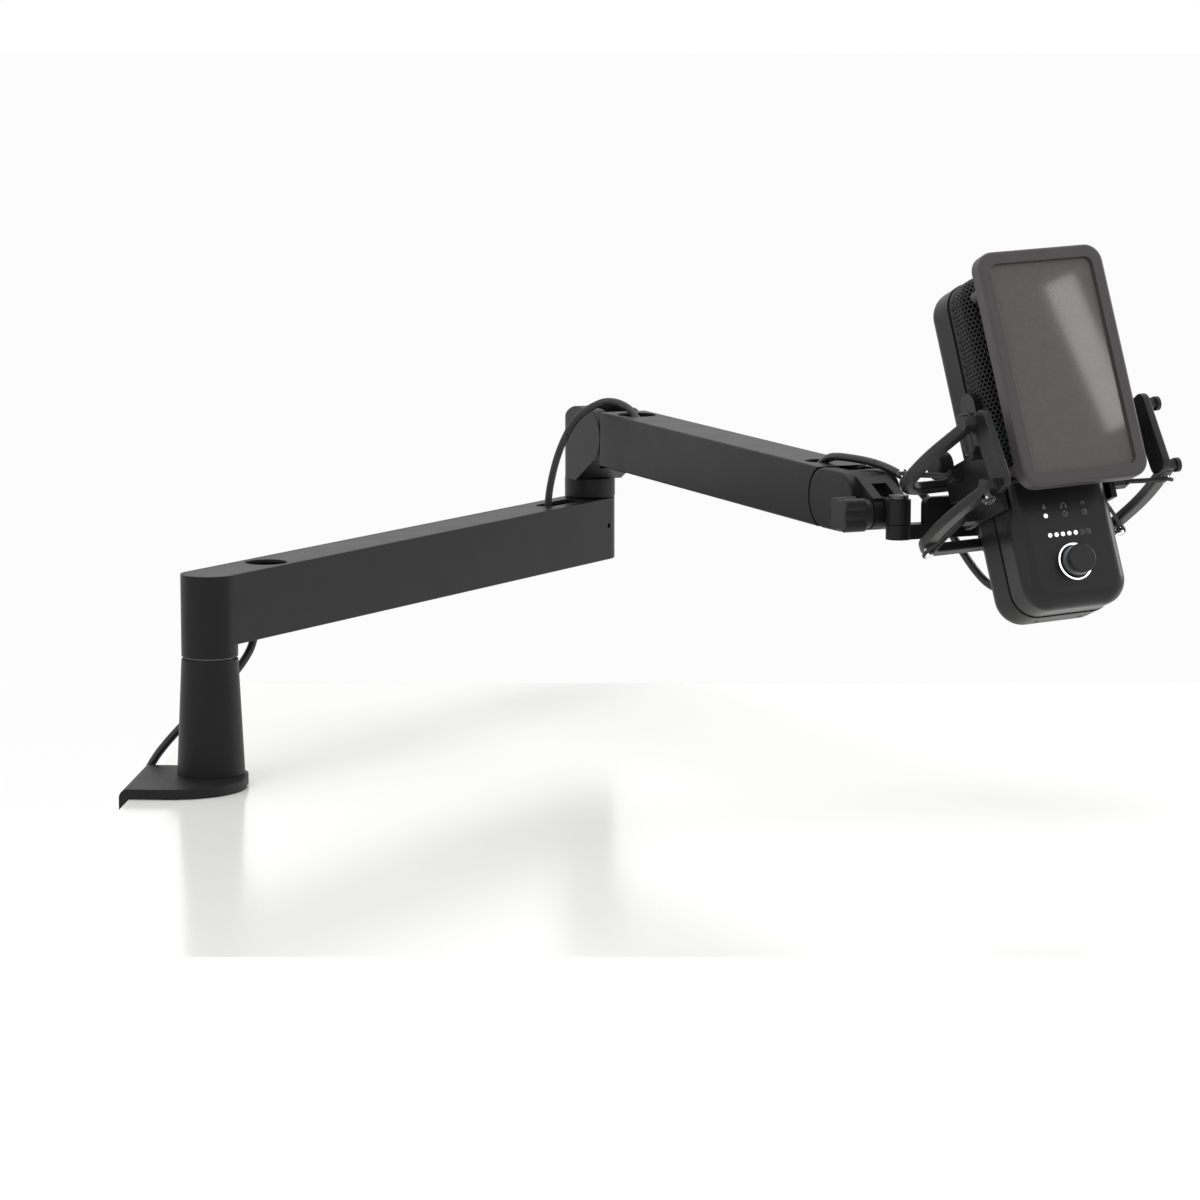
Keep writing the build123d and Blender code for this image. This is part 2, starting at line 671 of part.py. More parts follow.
def cradle_yoke():
    """The U-shaped yoke: two side plates, a rear bar and eight elastic ears."""
    bar = block(-CRADLE_X - 3, CRADLE_X + 3, 27, 31, -18, -4)
    body = place(MIC, side_plate(-1) + side_plate(1) + bar)
    pad = block(-12, 12, MIC_D / 2 + 0.1, 27.5, -16, -6)
    body += place(MIC, fillet(pad.edges().filter_by(Axis.Y), 2))
    for side in (-1, 1):
        x0 = min(side * CRADLE_X, side * (CRADLE_X + 3))
        body += place(MIC, block(x0, x0 + 3, -19, 22, -34, -1))
    for x, y in CRADLE_EARS:
        for z in EAR_Z:
            body += place(CAGE, ear(x, y, z))
    return body


def pivot_screw(side):
    x0 = side * (CRADLE_X + 3)
    x1 = side * (CRADLE_X + 5.2)
    return rod_x(5.2, min(x0, x1), max(x0, x1), -6, 14)


def build_cradle():
    save("cradle_yoke", cradle_yoke())
    knob = rod_x(7, -CRADLE_X - 12, -CRADLE_X - 3.2, 25, 1)
    save("cradle_lock_knob", place(MIC, fillet(knob.edges(), 1.2)))


# ---- microphone body ----
def rear_shell():
    """The deep rear half of the case, with rounded back edges."""
    body = rounded_slab(MIC_W, MIC_L, MIC_CORNER, SEAM_Y, MIC_D / 2)
    back = body.faces().sort_by(Axis.Y)[-1]
    body = fillet(back.edges(), 8.0)
    w = MIC_W - 2 * SHELL_T
    h = MIC_L - 2 * SHELL_T
    inner = rounded_slab(w, h, MIC_CORNER - SHELL_T, SEAM_Y - 1, MIC_D / 2 - 8)
    inner += rounded_slab(MIC_W - 18, MIC_L - 18, MIC_CORNER - 6, MIC_D / 2 - 8.1, MIC_D / 2 - SHELL_T)
    body -= inner
    body -= rod_y(3.1, 10, 30, JACK_X, USB_Z)
    body -= Pos(0, 15, USB_Z) * turn(x=90) * extrude(RectangleRounded(9.4, 3.6, 1.7), 8, both=True)
    for x in (-12.5, 12.5):
        body -= rod_z(1.3, -MIC_L / 2 - 1, -MIC_L / 2 + 4, x, 8)
    return body


def front_half(clear):
    """The shallower front half of the case, crowned at its edges."""
    w = MIC_W - 2 * clear
    h = MIC_L - 2 * clear
    body = rounded_slab(w, h, MIC_CORNER - clear, -MIC_D / 2, SEAM_Y - 0.25)
    face = body.faces().sort_by(Axis.Y)[0]
    return fillet(face.edges(), 7.5)


def front_hollow():
    body = rounded_slab(MIC_W - 6, MIC_L - 6, MIC_CORNER - 3, -MIC_D / 2 + 6, SEAM_Y + 1)
    return body + rounded_slab(MIC_W - 16, MIC_L - 16, MIC_CORNER - 6, -MIC_D / 2 + SHELL_T, -MIC_D / 2 + 6.1)


def front_cover():
    """The smooth lower cover that carries the lights and the dial."""
    keep = block(-60, 60, -60, 60, -100, GRILLE_Z - 0.15)
    body = (front_half(0.5) - front_hollow()) & keep
    body -= rod_y(RING_R + 0.05, -30, -MIC_D / 2 + RECESS_D, 0, DIAL_Z)
    body -= rod_y(SHAFT_R + RUNNING, -30, -15, 0, DIAL_Z)
    for x, z in led_places():
        body -= rod_y(LED_R, -30, -15, x, z)
    return body


def led_places():
    top = [(LED_TOP_PITCH * n, LED_TOP_Z) for n in (-1, 0, 1)]
    low = [(LED_LOW_PITCH * n, LED_LOW_Z) for n in range(-3, 4)]
    return top + low


def grille():
    """The perforated upper front; its holes are left to the finish."""
    keep = block(-60, 60, -60, 60, GRILLE_Z + 0.15, 100)
    return (front_half(0.5) - front_hollow()) & keep


def led_lens(x, z):
    return rod_y(LED_R, -MIC_D / 2 - 0.25, -MIC_D / 2 + 1.9, x, z)


def light_ring():
    """The thin ring of light on the floor of the dial's recess."""
    outer = rod_y(RING_R, -MIC_D / 2 - 0.4, -MIC_D / 2 + RECESS_D, 0, DIAL_Z)
    return outer - rod_y(RING_R - RING_WALL, -40, 0, 0, DIAL_Z)


def dial_knob():
    body = rod_y(DIAL_R, -MIC_D / 2 - 8.0, -MIC_D / 2 + 0.2, 0, DIAL_Z)
    body = fillet(body.faces().sort_by(Axis.Y)[0].edges(), 0.7)
    return body - rod_y(SHAFT_R + RUNNING, -MIC_D / 2 - 4.1, 0, 0, DIAL_Z)


CAPSULE_Z = 46.0
CAPSULE_R = 11.0


def capsule_saddle():
    """The bridge across the case with the ring that holds the capsule."""
    bridge = block(-26, 26, -1.0, 2.5, 24, 68) - rod_y(CAPSULE_R, -5, 9, 0, CAPSULE_Z)
    ring_body = rod_y(CAPSULE_R + 2, -9, -1, 0, CAPSULE_Z) - rod_y(CAPSULE_R, -10, 0, 0, CAPSULE_Z)
    return bridge + ring_body


def capsule_element():
    """The diaphragm and, behind it, the backplate."""
    r = CAPSULE_R - 0.1
    return [rod_y(r, -8.2, -7.8, 0, CAPSULE_Z), rod_y(r, -7.0, -4.5, 0, CAPSULE_Z)]


BOARD_Y = -9.5


def circuit_boards():
    """Main board, control board with the dial's encoder, and the posts between them."""
    control = block(-21, 21, BOARD_Y, BOARD_Y + 1.4, -77, -34)
    encoder = block(-6, 6, BOARD_Y - 4, BOARD_Y, DIAL_Z - 6, DIAL_Z + 6)
    control += encoder - rod_y(2.5 + RUNNING, BOARD_Y - 5, BOARD_Y - 0.05, 0, DIAL_Z)
    control -= rod_y(2.5 + RUNNING, BOARD_Y - 5, BOARD_Y - 0.05, 0, DIAL_Z)
    board = block(-22, 22, 3, 4.6, -76, 14)
    for x in (-17, 17):
        board += rod_y(1.8, BOARD_Y + 1.4, 3, x, -72)
        board += rod_y(2.4, 4.6, MIC_D / 2 - SHELL_T, x, 8)
    return [control, board]


def rear_ports():
    """The cable socket and the headphone socket, with their openings."""
    back = MIC_D / 2 - SHELL_T
    port = block(-5.5, 5.5, 8, back, USB_Z - 2.4, USB_Z + 2.4)
    port -= Pos(0, 15, USB_Z) * turn(x=90) * extrude(RectangleRounded(8.9, 3.2, 1.5), 4.5, both=True)
    jack = rod_y(3.05, 6, MIC_D / 2 - 0.4, JACK_X, USB_Z) - rod_y(1.8, 9, 30, JACK_X, USB_Z)
    return [port, jack]


def case_screws():
    """Two screws under the case and the two that hold the cradle."""
    under = [rod_z(1.25, -MIC_L / 2 + 0.6, -MIC_L / 2 + 9, x, 8) for x in (-12.5, 12.5)]
    return under + [pivot_screw(side) for side in (-1, 1)]


def build_mic():
    save("mic_rear_shell", place(MIC, rear_shell()))
    save("mic_front_cover", place(MIC, front_cover()))
    save("mic_grille", place(MIC, grille()))
    foam = rounded_slab(MIC_W - 20, 96, 8, -MIC_D / 2 + SHELL_T + 0.1, -MIC_D / 2 + SHELL_T + 1.4, 28)
    save("grille_foam", place(MIC, foam))
    save("capsule_saddle", place(MIC, capsule_saddle()))
    save("capsule_element", *[place(MIC, p) for p in capsule_element()])
    save("circuit_boards", *[place(MIC, p) for p in circuit_boards()])
    save("rear_ports", *[place(MIC, p) for p in rear_ports()])
    places = led_places()
    lit = [places[0]] + places[3:8]
    dark = places[1:3] + places[8:]
    save("leds_lit", *[place(MIC, led_lens(x, z)) for x, z in lit])
    save("leds_unlit", *[place(MIC, led_lens(x, z)) for x, z in dark])
    save("dial_light_ring", place(MIC, light_ring()))
    save("dial_shaft", place(MIC, rod_y(SHAFT_R, -MIC_D / 2 - 4, BOARD_Y - 0.7, 0, DIAL_Z)))
    save("dial_knob", place(MIC, dial_knob()))
    save("case_screws", *[place(MIC, p) for p in case_screws()])


# ---- pop filter ----
def pop_frame():
    outer = rounded_slab(POP_W, POP_H, 9, POP_Y, POP_Y + POP_T, POP_TOP - POP_H / 2)
    outer = fillet(outer.faces().sort_by(Axis.Y)[0].edges(), 1.6)
    return outer - pop_mesh(POP_Y - 1, POP_T + 2)


def pop_mesh(y, thick=0.8):
    """A sheet that fills the opening of the pop filter's frame."""
    return rounded_slab(POP_W - 2 * POP_RIM, POP_H - 2 * POP_RIM, 4, y, y + thick, POP_TOP - POP_H / 2)


POP_POSTS = [(-23.5, 74.0), (23.5, 74.0), (-23.5, -16.0), (23.5, -16.0)]


def pop_leg(x, z):
    """A short leg behind the frame whose magnet holds to the grille."""
    edge = 30.5 if x > 0 else -30.5
    back = POP_Y + POP_T
    leg = rod_y(3.0, back, -MIC_D / 2 - 0.1, x, z)
    return leg + block(min(x, edge), max(x, edge), back - 0.5, back + 3, z - 3, z + 3)


def build_pop():
    frame = pop_frame()
    for x, z in POP_POSTS:
        frame += pop_leg(x, z)
    save("pop_frame", place(MIC, frame))
    save("pop_mesh", *[place(MIC, pop_mesh(POP_Y + y)) for y in (1.8, 5.4)])


# ---- cable ----
def from_elbow(points):
    """Points given in the elbow's frame, in the object's frame."""
    return [tuple((ELBOW * shift(*p)).position) for p in points]


WRIST_ROUTE = [(317, -0.8, 162.4), (327, 1.2, 162.5), (340, 5, 162.0), (352, 10.5, 159.5), (361.5, 18, 153.5),
               (367, 25, 144.5), (369.5, 29.5, 137.5)]
HEAD_ROUTE = [(370.7, 31.7, 134.1), (372.9, 37.1, 125.3), (374.4, 42.2, 116.8), (376.6, 47.5, 108.3),
              (381.2, 52.7, 100.8), (390.2, 56.1, 98.1), (399.9, 56.8, 100.4)]
ELBOW_ROUTE = [(149.4, 308.8, 111.8), (151.3, 308.4, 123.0), (154.6, 307.7, 136.0), (159.8, 306.6, 149.0),
               (167.0, 305.0, 160.5)]
ENTRY_ROUTE = [(18.5, -15.5, 21.8), (25, -9.5, 22.6), (32.5, -5, 20.2), (39, -2.8, 15.8), (45, -2.5, 11.2)]
RISER_ROUTE = [(17.6, 37.0, 69.0), (14.0, 33.0, 60.0), (4.0, 29.0, 47.0), (-10.0, 27.5, 34.0),
               (-24.0, 27.0, 20.0), (-36.0, 27.0, 5.0), (-43.5, 27.0, -14.0), (-46.5, 26.4, -32.0),
               (-49.0, 24.5, -48.0)]


def cable_plug(housing, tail, shell):
    """A cable plug along +Y: metal shell, moulded housing and tapered tail."""
    grip = extrude(RectangleRounded(11, 6.4, 2.6), housing / 2, both=True)
    body = Pos(0, housing / 2, 0) * turn(x=90) * grip
    metal = extrude(RectangleRounded(8.3, 2.5, 1.2), shell / 2, both=True)
    metal = Pos(0, -shell / 2, 0) * turn(x=90) * metal
    relief = Pos(0, housing + tail / 2, 0) * turn(x=-90) * Cone(2.9, 2.4, tail)
    return body + metal + relief


def build_cable():
    save("cable_wrist", route_tube(from_elbow(WRIST_ROUTE), "cable_wrist"))
    save("cable_head", route_tube(from_elbow(HEAD_ROUTE), "cable_head"))
    save("cable_elbow", route_tube(ELBOW_ROUTE, "cable_elbow"))
    save("cable_entry", place(UPPER, route_tube(ENTRY_ROUTE, "cable_entry")))
    save("cable_riser", route_tube(RISER_ROUTE, "cable_riser"))
    save("usb_plug_mic", place(MIC * shift(0, MIC_D / 2 + 0.3, USB_Z), cable_plug(13, 8, 5.5)))
    save("cable_coil", Pos(COIL_X, 0, COIL_Z) * turn(y=90) * Torus(COIL_R, COIL_TUBE))
    host = shift(COIL_X, COIL_R, COIL_Z - 43) * turn(x=90)
    save("usb_plug_host", place(host, cable_plug(18, 9, 6.5)))


def main():
    report_frames()
    build_base()
    build_lower()
    build_elbow()
    build_upper()
    build_wrist()
    build_mount()
    build_cradle()
    build_mic()
    build_pop()
    build_cable()


main()
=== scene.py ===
from math import cos, pi, radians, sin

import bmesh
import bpy
from mathutils import Matrix, Vector
from mathutils.geometry import delaunay_2d_cdt


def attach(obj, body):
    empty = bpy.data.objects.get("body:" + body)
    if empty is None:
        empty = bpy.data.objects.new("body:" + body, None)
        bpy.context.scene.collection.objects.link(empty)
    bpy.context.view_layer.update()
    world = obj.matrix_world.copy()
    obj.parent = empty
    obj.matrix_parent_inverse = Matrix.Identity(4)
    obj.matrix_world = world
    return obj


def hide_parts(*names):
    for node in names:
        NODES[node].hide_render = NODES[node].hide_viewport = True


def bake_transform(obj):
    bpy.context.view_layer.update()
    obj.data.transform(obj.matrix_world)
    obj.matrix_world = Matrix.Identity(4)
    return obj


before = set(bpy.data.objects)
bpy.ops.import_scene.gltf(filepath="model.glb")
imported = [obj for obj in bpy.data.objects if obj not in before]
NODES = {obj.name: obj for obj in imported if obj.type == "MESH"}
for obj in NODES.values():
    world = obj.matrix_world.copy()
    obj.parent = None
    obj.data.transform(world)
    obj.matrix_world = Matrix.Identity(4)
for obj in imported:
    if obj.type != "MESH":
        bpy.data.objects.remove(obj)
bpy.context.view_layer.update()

MM = 0.001


# ---- frames, from the CAD ----
def frame_of(origin, x, y, z):
    """A frame from its origin in millimetres and its three axes."""
    m = Matrix.Identity(4)
    for column, axis in enumerate((x, y, z)):
        for row in range(3):
            m[row][column] = axis[row]
    for row in range(3):
        m[row][3] = origin[row] * MM
    return m


MIC_AT = (413.95316, 6.31081, 174.5)
MIC_X = (0.87462136, 0.48233826, 0.04885982)
MIC = frame_of(MIC_AT, MIC_X, (-0.43540944, 0.82582748, -0.35836795), (-0.21320436, 0.29216223, 0.93230099))
CAGE = frame_of(MIC_AT, MIC_X, (-0.39177204, 0.76254787, -0.51481590), (-0.28557336, 0.43112707, 0.85590730))
ARM_X = (0.46638664, -0.88458098, 0.0)
ARM_Y = (0.88458098, 0.46638664, 0.0)
ELBOW = frame_of((170.61059, 352.92496, 0.0), ARM_X, ARM_Y, (0, 0, 1))
PIVOT_OFFSET = (0.0305, 0, 0.147)
UPPER_TILT = radians(0.88)
UPPER = ELBOW @ Matrix.Translation(PIVOT_OFFSET) @ Matrix.Rotation(UPPER_TILT, 4, "Y")


def at(m, x, y, z):
    """A point given in millimetres in frame m, in the row frame, in metres."""
    return m @ Vector((x * MM, y * MM, z * MM))


# ---- camera, stage and lights ----
# The lens and the sensor are in millimetres, and the rest of this section is in metres.
LENS = 128.37
SENSOR = 36
CLIP_NEAR, CLIP_FAR = 0.05, 200
CAMERA_AT = (0.336315, -2.137961, 0.396156)
CAMERA_TURN = (radians(82.03), 0, radians(3.67))

DESK_OUTLINE = [(-0.0344, -0.405), (0.95, -0.342), (0.95, 0.386), (-0.0344, 0.322)]
DESK_Z = (-0.0298, -0.0002)
FLOOR_OUTLINE = [(-60, -20), (60, -20), (60, 90), (-60, 90)]
FLOOR_Z = (-0.73, -0.72)

# Each light's name, place, target, size and power.
LIGHTS = [
    ("key", (-0.9, -1.3, 1.5), (0.2, 0.1, 0.1), (1.0, 0.7), 9),
    ("top", (0.3, 0.5, 1.7), (0.3, 0.1, 0.1), (1.6, 0.9), 8),
    ("rim", (1.5, 0.5, 0.7), (0.4, 0.0, 0.2), (0.5, 0.9), 8),
    ("window", (1.446, -0.501, 0.891), (0.414, -0.04, 0.2), (0.025, 0.127), 0.09),
]


def make_camera():
    data = bpy.data.cameras.new("camera")
    data.lens = LENS
    data.sensor_width = SENSOR
    data.clip_start = CLIP_NEAR
    data.clip_end = CLIP_FAR
    cam = bpy.data.objects.new("camera", data)
    cam.location = CAMERA_AT
    cam.rotation_euler = CAMERA_TURN
    bpy.context.collection.objects.link(cam)
    bpy.context.scene.camera = cam


def mesh_object(name, verts, faces, smooth=True):
    mesh = bpy.data.meshes.new(name)
    mesh.from_pydata([tuple(v) for v in verts], [], faces)
    mesh.validate()
    mesh.update()
    for poly in mesh.polygons:
        poly.use_smooth = smooth
    obj = bpy.data.objects.new(name, mesh)
    bpy.context.collection.objects.link(obj)
    return obj


def prism(name, outline, z0, z1):
    """A flat slab with the given plan outline: bottom and top first, then the sides."""
    n = len(outline)
    verts = [(x, y, z0) for x, y in outline] + [(x, y, z1) for x, y in outline]
    faces = [tuple(reversed(range(n))), tuple(range(n, 2 * n))]
    faces += [(i, (i + 1) % n, n + (i + 1) % n, n + i) for i in range(n)]
    return mesh_object(name, verts, faces, smooth=False)


def area_light(name, place, target, size, power):
    data = bpy.data.lights.new(name, "AREA")
    data.shape = "RECTANGLE"
    data.size, data.size_y = size
    data.energy = power
    light = bpy.data.objects.new(name, data)
    light.location = place
    direction = Vector(target) - Vector(place)
    light.rotation_euler = direction.to_track_quat("-Z", "Y").to_euler()
    bpy.context.collection.objects.link(light)


def make_stage():
    desk = prism("desk", DESK_OUTLINE, *DESK_Z)
    desk.data.materials.append(shader("desk_white", (0.77, 0.77, 0.76), 0.16, specular=0.4)[0])
    desk.data.materials.append(shader("desk_edge_band", (0.98, 0.98, 0.98), 0.9, specular=0.0)[0])
    for side in desk.data.polygons[2:]:
        side.material_index = 1
    floor = prism("floor", FLOOR_OUTLINE, *FLOOR_Z)
    floor.data.materials.append(shader("floor_white", (0.97, 0.97, 0.97), 0.9, specular=0.0)[0])
    world = bpy.data.worlds.new("studio")
    world.use_nodes = True
    background = world.node_tree.nodes["Background"]
    background.inputs["Color"].default_value = (1, 1, 1, 1)
    background.inputs["Strength"].default_value = 1.0
    bpy.context.scene.world = world
    bpy.context.scene.view_settings.view_transform = "Standard"
    for light in LIGHTS:
        area_light(*light)


# ---- materials ----
HALF_WAVE = 0.16    # the scale at which half a period of a wave texture is about a metre


def shader(name, color, rough, metallic=0.0, specular=0.5, coat=0.0, coat_rough=0.15, sheen=0.0):
    mat = bpy.data.materials.new(name)
    mat.use_nodes = True
    bsdf = mat.node_tree.nodes["Principled BSDF"]
    bsdf.inputs["Base Color"].default_value = (*color, 1)
    bsdf.inputs["Roughness"].default_value = rough
    bsdf.inputs["Metallic"].default_value = metallic
    bsdf.inputs["Specular IOR Level"].default_value = specular
    bsdf.inputs["Coat Weight"].default_value = coat
    bsdf.inputs["Coat Roughness"].default_value = coat_rough
    bsdf.inputs["Sheen Weight"].default_value = sheen
    return mat, mat.node_tree, bsdf


def add(tree, kind, **values):
    node = tree.nodes.new(kind)
    for key, value in values.items():
        node.inputs[key].default_value = value
    return node


def coords(tree, stretch=(1, 1, 1), turn=(0, 0, 0)):
    """Object coordinates, scaled and turned."""
    source = tree.nodes.new("ShaderNodeTexCoord")
    mapping = tree.nodes.new("ShaderNodeMapping")
    mapping.inputs["Scale"].default_value = stretch
    mapping.inputs["Rotation"].default_value = turn
    tree.links.new(source.outputs["Object"], mapping.inputs["Vector"])
    return mapping.outputs["Vector"]


def vary(tree, bsdf, vector, socket, low, high, scale):
    """Noise that moves one socket between two values."""
    noise = add(tree, "ShaderNodeTexNoise", Scale=scale, Detail=3.0)
    tree.links.new(vector, noise.inputs["Vector"])
    spread = tree.nodes.new("ShaderNodeMapRange")
    spread.inputs["From Min"].default_value = 0.3
    spread.inputs["From Max"].default_value = 0.7
    spread.inputs["To Min"].default_value = low
    spread.inputs["To Max"].default_value = high
    tree.links.new(noise.outputs["Fac"], spread.inputs["Value"])
    tree.links.new(spread.outputs["Result"], bsdf.inputs[socket])


def mottle(tree, bsdf, vector, color, amount, scale):
    """Slight colour variation about the base colour."""
    noise = add(tree, "ShaderNodeTexNoise", Scale=scale, Detail=4.0)
    tree.links.new(vector, noise.inputs["Vector"])
    ramp = tree.nodes.new("ShaderNodeValToRGB")
    ramp.color_ramp.elements[0].position = 0.3
    ramp.color_ramp.elements[1].position = 0.7
    ramp.color_ramp.elements[0].color = (*[c * (1 - amount) for c in color], 1)
    ramp.color_ramp.elements[1].color = (*[min(1, c * (1 + amount)) for c in color], 1)
    tree.links.new(noise.outputs["Fac"], ramp.inputs["Fac"])
    tree.links.new(ramp.outputs["Color"], bsdf.inputs["Base Color"])


def bump(tree, bsdf, height, strength, distance, edge=0.0):
    """Surface relief, over edges rounded by the given radius."""
    node = tree.nodes.new("ShaderNodeBump")
    node.inputs["Strength"].default_value = strength
    node.inputs["Distance"].default_value = distance
    tree.links.new(height, node.inputs["Height"])
    if edge:
        bevel = tree.nodes.new("ShaderNodeBevel")
        bevel.samples = 4
        bevel.inputs["Radius"].default_value = edge
        tree.links.new(bevel.outputs["Normal"], node.inputs["Normal"])
    tree.links.new(node.outputs["Normal"], bsdf.inputs["Normal"])


def grain_bump(tree, bsdf, vector, scale, strength, distance, edge):
    """Relief from fine noise."""
    noise = add(tree, "ShaderNodeTexNoise", Scale=scale, Detail=2.0)
    tree.links.new(vector, noise.inputs["Vector"])
    bump(tree, bsdf, noise.outputs["Fac"], strength, distance, edge)


def plastic(name, color, rough, grain=(2500, 0.12), specular=0.5, edge=0.0005):
    """Moulded plastic or powder-coated metal. The grain is a noise scale and a strength."""
    mat, tree, bsdf = shader(name, color, rough, specular=specular)
    vector = coords(tree)
    mottle(tree, bsdf, vector, color, 0.04, 45)
    vary(tree, bsdf, vector, "Roughness", rough - 0.02, rough + 0.02, 60)
    grain_bump(tree, bsdf, vector, *grain, 0.0002, edge)
    return mat


def metal(name, color, rough, stretch=(1, 1, 1), scale=900, edge=0.0003):
    """Bare or plated metal. Its grain is finer along an axis that has a larger stretch."""
    mat, tree, bsdf = shader(name, color, rough, metallic=1.0)
    vector = coords(tree, stretch)
    mottle(tree, bsdf, vector, color, 0.08, 120)
    vary(tree, bsdf, vector, "Roughness", rough * 0.8, rough * 1.25, scale)
    grain_bump(tree, bsdf, vector, scale, 0.15, 0.0001, edge)
    return mat


def ribbed(name, color, rough, pitch, strength=0.35, sheen=0.2):
    """A braided or ribbed sleeve: one set of fine waves."""
    mat, tree, bsdf = shader(name, color, rough, sheen=sheen)
    vector = coords(tree)
    mottle(tree, bsdf, vector, color, 0.15, 200)
    vary(tree, bsdf, vector, "Roughness", rough - 0.08, rough + 0.08, 300)
    wave = add(tree, "ShaderNodeTexWave", Scale=HALF_WAVE / pitch, Distortion=0.4)
    wave.bands_direction = "Z"
    tree.links.new(vector, wave.inputs["Vector"])
    bump(tree, bsdf, wave.outputs["Fac"], strength, 0.0002)
    return mat


def woven(name, color, rough, pitch):
    """A fine metal cloth: two crossed sets of waves in the microphone's own directions."""
    mat, tree, bsdf = shader(name, color, rough, specular=0.3, coat=0.5, coat_rough=0.04)
    vector = coords(tree, turn=MIC.to_3x3().inverted().to_euler())
    mottle(tree, bsdf, vector, color, 0.06, 300)
    vary(tree, bsdf, vector, "Roughness", rough - 0.03, rough + 0.05, 40)
    both = tree.nodes.new("ShaderNodeMath")
    both.operation = "ADD"
    for axis, socket in zip(("X", "Z"), both.inputs):
        wave = add(tree, "ShaderNodeTexWave", Scale=HALF_WAVE / pitch)
        wave.bands_direction = axis
        tree.links.new(vector, wave.inputs["Vector"])
        tree.links.new(wave.outputs["Fac"], socket)
    bump(tree, bsdf, both.outputs["Value"], 0.05, 0.0001)
    return mat


def glow(name, color, power):
    """A lit lens, very slightly mottled."""
    mat, tree, bsdf = shader(name, color, 0.25)
    vector = coords(tree)
    mottle(tree, bsdf, vector, color, 0.04, 500)
    bsdf.inputs["Emission Color"].default_value = (*color, 1)
    bsdf.inputs["Emission Strength"].default_value = power
    return mat


def board_green():
    """Green solder resist with small copper spots."""
    base = (0.015, 0.09, 0.04)
    mat, tree, bsdf = shader("board_green", base, 0.35, coat=0.3)
    vector = coords(tree)
    cells = add(tree, "ShaderNodeTexVoronoi", Scale=260.0)
    tree.links.new(vector, cells.inputs["Vector"])
    ramp = tree.nodes.new("ShaderNodeValToRGB")
    ramp.color_ramp.elements[0].position = 0.10
    ramp.color_ramp.elements[0].color = (0.35, 0.30, 0.12, 1)
    ramp.color_ramp.elements[1].position = 0.16
    ramp.color_ramp.elements[1].color = (*base, 1)
    tree.links.new(cells.outputs["Distance"], ramp.inputs["Fac"])
    tree.links.new(ramp.outputs["Color"], bsdf.inputs["Base Color"])
    vary(tree, bsdf, vector, "Roughness", 0.3, 0.45, 90)
    bump(tree, bsdf, cells.outputs["Distance"], 0.2, 0.0002)
    return mat


def make_materials():
    return {
        "arm": plastic("arm_powder_coat", (0.0080, 0.0074, 0.0074), 0.42, grain=(2200, 0.16), specular=0.18),
        "clamp": plastic("clamp_powder_coat", (0.0085, 0.0083, 0.0083), 0.5,
                         grain=(1800, 0.25), specular=0.2),
        "cover": plastic("channel_cover", (0.0105, 0.0098, 0.0095), 0.44, grain=(2600, 0.12), specular=0.24),
        "steel": metal("bright_steel", (0.62, 0.62, 0.63), 0.28, (1, 1, 12)),
        "black_steel": metal("black_oxide_steel", (0.09, 0.09, 0.095), 0.36),
        "rubber": plastic("pad_rubber", (0.012, 0.012, 0.012), 0.8, grain=(1400, 0.5), specular=0.2),
        "bush": plastic("acetal_bush", (0.72, 0.72, 0.70), 0.5),
        "shell": plastic("mic_shell", (0.0058, 0.0052, 0.0052), 0.38, grain=(2600, 0.10), specular=0.21),
        "front": plastic("mic_front", (0.006, 0.006, 0.006), 0.30, grain=(3000, 0.06), specular=0.32),
        "grille": plastic("grille_black", (0.008, 0.008, 0.008), 0.42, grain=(2200, 0.12), specular=0.25),
        "foam": plastic("acoustic_foam", (0.012, 0.012, 0.012), 0.95, grain=(700, 0.9), edge=0),
        "pop": plastic("pop_frame_grey", (0.048, 0.044, 0.044), 0.46, grain=(2200, 0.12), specular=0.3),
        "screen": woven("pop_screen", (0.055, 0.0515, 0.049), 0.45, 0.00058),
        "wire": metal("mesh_wire", (0.085, 0.080, 0.077), 0.34, scale=600, edge=0),
        "mount": plastic("mount_plastic", (0.009, 0.0085, 0.0085), 0.38, grain=(2400, 0.12), specular=0.3),
        "knob": plastic("knob_grey", (0.014, 0.0135, 0.0135), 0.42, grain=(2000, 0.2), specular=0.25),
        "elastic": ribbed("elastic_sleeve", (0.016, 0.016, 0.016), 0.8, 0.0009),
        "cable": ribbed("cable_sleeve", (0.006, 0.006, 0.006), 0.42, 0.0012, strength=0.06, sheen=0.0),
        "chrome": metal("pin_chrome", (0.82, 0.82, 0.83), 0.14),
        "dial": plastic("dial_black", (0.012, 0.012, 0.0125), 0.34, grain=(3000, 0.06), specular=0.3),
        "plug": plastic("plug_black", (0.008, 0.008, 0.008), 0.5, specular=0.25),
        "gold": metal("capsule_gold", (0.86, 0.66, 0.30), 0.25),
        "board": board_green(),
        "lit": glow("led_lit", (1.0, 0.98, 0.95), 1.6),
        "ring": glow("dial_ring_lit", (0.95, 0.97, 1.0), 1.5),
        "dark_led": plastic("led_dark", (0.02, 0.02, 0.02), 0.3),
        "print": plastic("printed_mark", (0.16, 0.16, 0.16), 0.6),
        "strap": ribbed("hook_strap", (0.016, 0.016, 0.017), 0.95, 0.0006, strength=0.6, sheen=0.6),
    }


